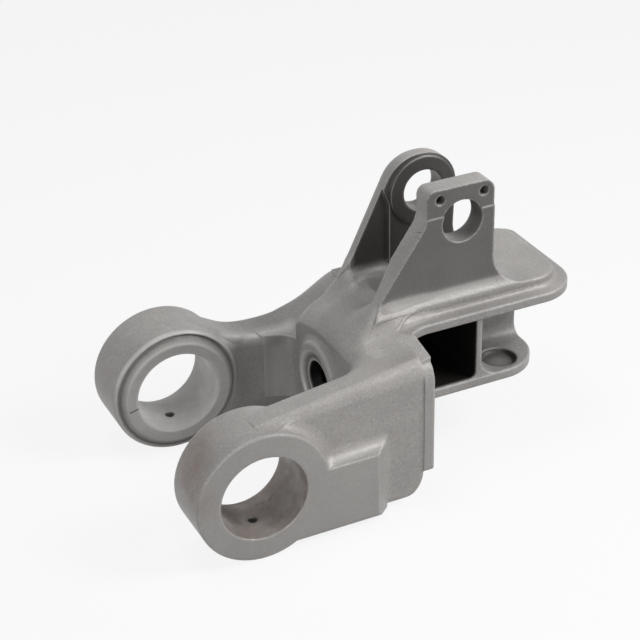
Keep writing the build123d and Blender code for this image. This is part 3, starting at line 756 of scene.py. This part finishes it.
def thread_steel():
    """Dark oily steel whose colour varies a little over the thread."""
    material, tree = new_material("thread_steel")
    place = tree.add("ShaderNodeTexCoord").outputs["Object"]
    patch = tree.stretch(tree.noise(place, 0.002), 0.35, 0.65)
    mixed = tree.blend(patch, THREAD_COLOUR, shade_of(THREAD_COLOUR, 0.75))
    shader = tree.add(
        "ShaderNodeBsdfPrincipled", {"Base Color": mixed, "Roughness": 0.45, "Metallic": 0.6}
    )
    tree.add("ShaderNodeOutputMaterial", {"Surface": shader.outputs[0]})
    return material


def made_real(thing, name):
    """Plain mesh object of an object with its modifiers."""
    graph = bpy.context.evaluated_depsgraph_get()
    mesh = bpy.data.meshes.new_from_object(thing.evaluated_get(graph))
    real = bpy.data.objects.new(name, mesh)
    bpy.context.scene.collection.objects.link(real)
    bpy.data.objects.remove(thing)
    return real


class BRACKET_OT_finish(bpy.types.Operator):
    """Give the casting its shot-blasted and machined surfaces"""

    bl_idname = "bracket.finish"
    bl_label = "Finish the casting"

    def execute(self, context):
        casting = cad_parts[CASTING]
        casting.data.materials.clear()
        casting.data.materials.append(casting_finish(context.scene.bracket_finish))
        return {"FINISHED"}


def sharp_place(point):
    """True in turned, milled and hollow places, whose corners stay as they are cut."""
    x, y, z = (value / MM for value in point)
    eye_r = math.hypot(x, z)
    ear_r = math.hypot(x - EAR_X, z - EAR_Z)
    in_groove = eye_r < EYE_GROOVE_R + WIDE_CLEAR and abs(y) < EYE_GROOVE_Y + CLEAR
    in_eye = eye_r < EYE_RING_R + CLEAR or in_groove
    in_ear = ear_r < FAR_RING_R - CLEAR
    on_band = z > MILLED_Z - 2 * CLEAR and y < MILLED_Y + 3 * CLEAR
    in_boss = x < CAVITY_LEFT + 2 * CLEAR and math.hypot(y, z - BOSS_Z) < BOSS_HOLE_R + CLEAR
    in_hollow = (
        CAVITY_LEFT < x < CAVITY_RIGHT and WINDOW_Y < y < CAVITY_FAR_Y
        and CAVITY_BOTTOM < z < FLANGE_UNDER_Z and (x > PLATE_X or z < CAVITY_TOP)
    )
    seat_r = math.hypot(x - SEAT_X, abs(y) - SEAT_Y)
    at_seat = abs(z - LOW_FLANGE_Z) < SEAT_BAND and seat_r < SEAT_R + WIDE_CLEAR
    return in_eye or in_ear or on_band or in_boss or in_hollow or at_seat


def zone_share(point, low, high):
    """1 inside a box, fading to 0 at its faces; sizes in millimetres."""
    inside = min(min(c - a, b - c) for c, a, b in zip(point, low, high))
    return min(max(inside / ZONE_FADE, 0.0), 1.0)


def merged_copy(casting):
    """Mesh copy of the casting with its faces joined, and a search tree of its surface."""
    copy = casting.data.copy()
    merged = bmesh.new()
    merged.from_mesh(copy)
    bmesh.ops.remove_doubles(merged, verts=merged.verts, dist=MERGE_DISTANCE)
    surface = BVHTree.FromBMesh(merged)
    for corners in FOOT_BLENDS:
        points = [merged.verts.new(Vector(corner) * MM) for corner in corners]
        bmesh.ops.convex_hull(merged, input=points)
    merged.to_mesh(copy)
    merged.free()
    return copy, surface


def softened_skin(mesh, settings):
    """Even skin over the mesh, smoothed everywhere and more so in the wide zones."""
    source = bpy.data.objects.new("fillet_source", mesh)
    bpy.context.scene.collection.objects.link(source)
    remesh = source.modifiers.new("skin", "REMESH")
    remesh.mode = "VOXEL"
    remesh.voxel_size = settings.cell
    skin = made_real(source, "fillet_skin")
    wide = skin.vertex_groups.new(name="wide")
    for vert in skin.data.vertices:
        share = max(zone_share(vert.co / MM, low, high) for low, high in WIDE_ZONES)
        if share > 0:
            wide.add([vert.index], share, "REPLACE")
    for name, steps in (("all_corners", settings.steps), ("wide_corners", settings.wide_steps)):
        soften = skin.modifiers.new(name, "SMOOTH")
        soften.factor = 0.5
        soften.iterations = steps
    skin.modifiers["wide_corners"].vertex_group = wide.name
    return made_real(skin, "corner_fillets")


def corner_fillets(casting, settings):
    """Smooth strips that fill the inner corners: what of a soft skin comes out of the casting."""
    copy, surface = merged_copy(casting)
    skin = softened_skin(copy, settings)
    strips = bmesh.new()
    strips.from_mesh(skin.data)
    strips.normal_update()
    for vert in strips.verts:
        vert.co -= vert.normal * settings.sink
    raised = set()
    for vert in strips.verts:
        place, normal, _, _ = surface.find_nearest(vert.co)
        if (vert.co - place).dot(normal) > 0 and not sharp_place(vert.co):
            raised.add(vert)
    hidden = [face for face in strips.faces if raised.isdisjoint(face.verts)]
    bmesh.ops.delete(strips, geom=hidden, context="FACES")
    for face in strips.faces:
        face.smooth = True
    strips.to_mesh(skin.data)
    strips.free()
    return skin


class BRACKET_OT_fillets(bpy.types.Operator):
    """Fill the inner corners of the casting with soft fillets"""

    bl_idname = "bracket.fillets"
    bl_label = "Fill the inner corners"

    def execute(self, context):
        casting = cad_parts[CASTING]
        skin = corner_fillets(casting, context.scene.bracket_fillet)
        skin.data.materials.clear()
        skin.data.materials.append(casting.data.materials[0])
        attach(skin, "root")
        return {"FINISHED"}


class BRACKET_OT_threads(bpy.types.Operator):
    """Cut the thread in the two tapped holes of the near ear"""

    bl_idname = "bracket.threads"
    bl_label = "Thread the tapped holes"

    def execute(self, context):
        settings = context.scene.bracket_thread
        steel = thread_steel()
        holder = bpy.data.objects.new("thread_holder", bpy.data.meshes.new("thread_holder"))
        context.scene.collection.objects.link(holder)
        modifier = holder.modifiers.new("threads", "NODES")
        modifier.node_group = thread_tree(steel)
        values = {
            "Pitch": settings.pitch,
            "Hole radius": settings.core_radius,
            "Crest": settings.crest,
            "Depth": settings.depth,
            "Spacing": SCREW_SPACING * MM,
        }
        for item in modifier.node_group.interface.items_tree:
            if item.in_out == "INPUT" and item.name in values:
                modifier[item.identifier] = values[item.name]
        threads = made_real(holder, "hole_threads")
        mouth = (EAR_X * MM, (MILLED_Y + THREAD_START) * MM, SCREW_Z * MM)
        threads.data.transform(Matrix.Translation(mouth))
        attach(threads, "root")
        return {"FINISHED"}


class BRACKET_OT_stage(bpy.types.Operator):
    """Set the floor, the lamps, the world and the camera"""

    bl_idname = "bracket.stage"
    bl_label = "Set the stage"

    def execute(self, context):
        settings = context.scene.bracket_stage
        scene = context.scene
        scene.view_settings.view_transform = "Standard"
        low = CAD_BOX[0][2]
        bpy.ops.mesh.primitive_plane_add(size=FLOOR_SIZE, location=(*FLOOR_PLACE, low))
        floor = context.active_object
        floor.name = "floor"
        floor.data.materials.append(floor_material(settings.floor_colour))
        set_world(scene, settings.world_strength)
        for name, place, aim, size, spread in LAMPS:
            add_lamp(f"{name}_lamp", place, aim, size, getattr(settings, f"{name}_power"), spread)
        set_camera(scene)
        return {"FINISHED"}


def seen_directly(tree):
    """1 on rays from the camera and on mirrored or refracted ones, 0 on light that falls on things."""
    rays = tree.add("ShaderNodeLightPath").outputs
    return tree.any_of(rays["Is Camera Ray"], rays["Is Glossy Ray"], rays["Is Transmission Ray"])


def floor_material(colour):
    """Plain pale floor that looks almost white and keeps the object's shadow."""
    material, tree = new_material("floor_white")
    seen = seen_directly(tree)
    shade = tree.blend(seen, tuple(c * FLOOR_BOUNCE for c in colour), colour)
    matt = tree.add("ShaderNodeBsdfDiffuse", {"Color": shade})
    white = tree.add("ShaderNodeEmission", {"Color": WHITE, "Strength": 1.0})
    share = tree.sum_up("MULTIPLY", seen, FLOOR_WHITE_SHARE)
    mixed = tree.add("ShaderNodeMixShader", {0: share, 1: matt.outputs[0], 2: white.outputs[0]})
    tree.add("ShaderNodeOutputMaterial", {"Surface": mixed.outputs[0]})
    return material


def set_world(scene, strength):
    """Plain pale world, white where the camera sees it."""
    world = bpy.data.worlds.new("studio")
    scene.world = world
    world.use_nodes = True
    world.node_tree.nodes.clear()
    tree = Tree(world.node_tree)
    seen = tree.add("ShaderNodeBackground", {"Color": WHITE, "Strength": 1.0})
    lit = tree.add("ShaderNodeBackground", {"Color": WHITE, "Strength": strength})
    mixed = tree.add(
        "ShaderNodeMixShader", {0: seen_directly(tree), 1: lit.outputs[0], 2: seen.outputs[0]}
    )
    tree.add("ShaderNodeOutputWorld", {"Surface": mixed.outputs[0]})


def add_lamp(name, place, aim, size, power, spread):
    """A rectangular lamp at place that faces aim, in metres; its spread is in degrees."""
    data = bpy.data.lights.new(name, "AREA")
    data.shape = "RECTANGLE"
    data.size, data.size_y = size
    data.energy = power
    data.spread = math.radians(spread)
    lamp = bpy.data.objects.new(name, data)
    bpy.context.scene.collection.objects.link(lamp)
    turn = (Vector(aim) - Vector(place)).to_track_quat("-Z", "Y")
    lamp.matrix_world = Matrix.Translation(place) @ turn.to_matrix().to_4x4()


def set_camera(scene):
    """The photograph's own viewpoint."""
    azimuth = math.radians(-CAMERA_AZIMUTH)
    elevation = math.radians(CAMERA_ELEVATION)
    forward = Vector((
        math.sin(azimuth) * math.cos(elevation),
        math.cos(azimuth) * math.cos(elevation),
        -math.sin(elevation),
    ))
    right = forward.cross(Vector((0, 0, 1))).normalized()
    up = right.cross(forward)
    roll = math.radians(CAMERA_ROLL)
    right, up = (
        right * math.cos(roll) + up * math.sin(roll),
        up * math.cos(roll) - right * math.sin(roll),
    )
    data = bpy.data.cameras.new("camera")
    data.lens = CAMERA_LENS
    data.sensor_width = SENSOR
    data.sensor_fit = "HORIZONTAL"
    data.clip_end = CLIP_END
    camera = bpy.data.objects.new("camera", data)
    scene.collection.objects.link(camera)
    turn = Matrix((right, up, -forward)).transposed().to_4x4()
    camera.matrix_world = Matrix.Translation(Vector(CAMERA_PLACE) * MM) @ turn
    scene.camera = camera


class BRACKET_PT_panel(bpy.types.Panel):
    """Steps that dress the bracket"""

    bl_idname = "BRACKET_PT_panel"
    bl_label = "Cast bracket"
    bl_space_type = "VIEW_3D"
    bl_region_type = "UI"
    bl_category = "Bracket"

    def draw(self, context):
        for step in STEPS:
            self.layout.operator(step)


STEPS = ("bracket.finish", "bracket.fillets", "bracket.threads", "bracket.stage")
CLASSES = (
    FinishSettings,
    ThreadSettings,
    FilletSettings,
    StageSettings,
    BRACKET_OT_finish,
    BRACKET_OT_fillets,
    BRACKET_OT_threads,
    BRACKET_OT_stage,
    BRACKET_PT_panel,
)


def register():
    for cls in CLASSES:
        bpy.utils.register_class(cls)
    bpy.types.Scene.bracket_finish = bpy.props.PointerProperty(type=FinishSettings)
    bpy.types.Scene.bracket_thread = bpy.props.PointerProperty(type=ThreadSettings)
    bpy.types.Scene.bracket_fillet = bpy.props.PointerProperty(type=FilletSettings)
    bpy.types.Scene.bracket_stage = bpy.props.PointerProperty(type=StageSettings)


def unregister():
    del bpy.types.Scene.bracket_stage
    del bpy.types.Scene.bracket_fillet
    del bpy.types.Scene.bracket_thread
    del bpy.types.Scene.bracket_finish
    for cls in reversed(CLASSES):
        bpy.utils.unregister_class(cls)


def main():
    register()
    bpy.ops.bracket.finish()
    bpy.ops.bracket.fillets()
    bpy.ops.bracket.threads()
    bpy.ops.bracket.stage()


if __name__ == "__main__":
    main()
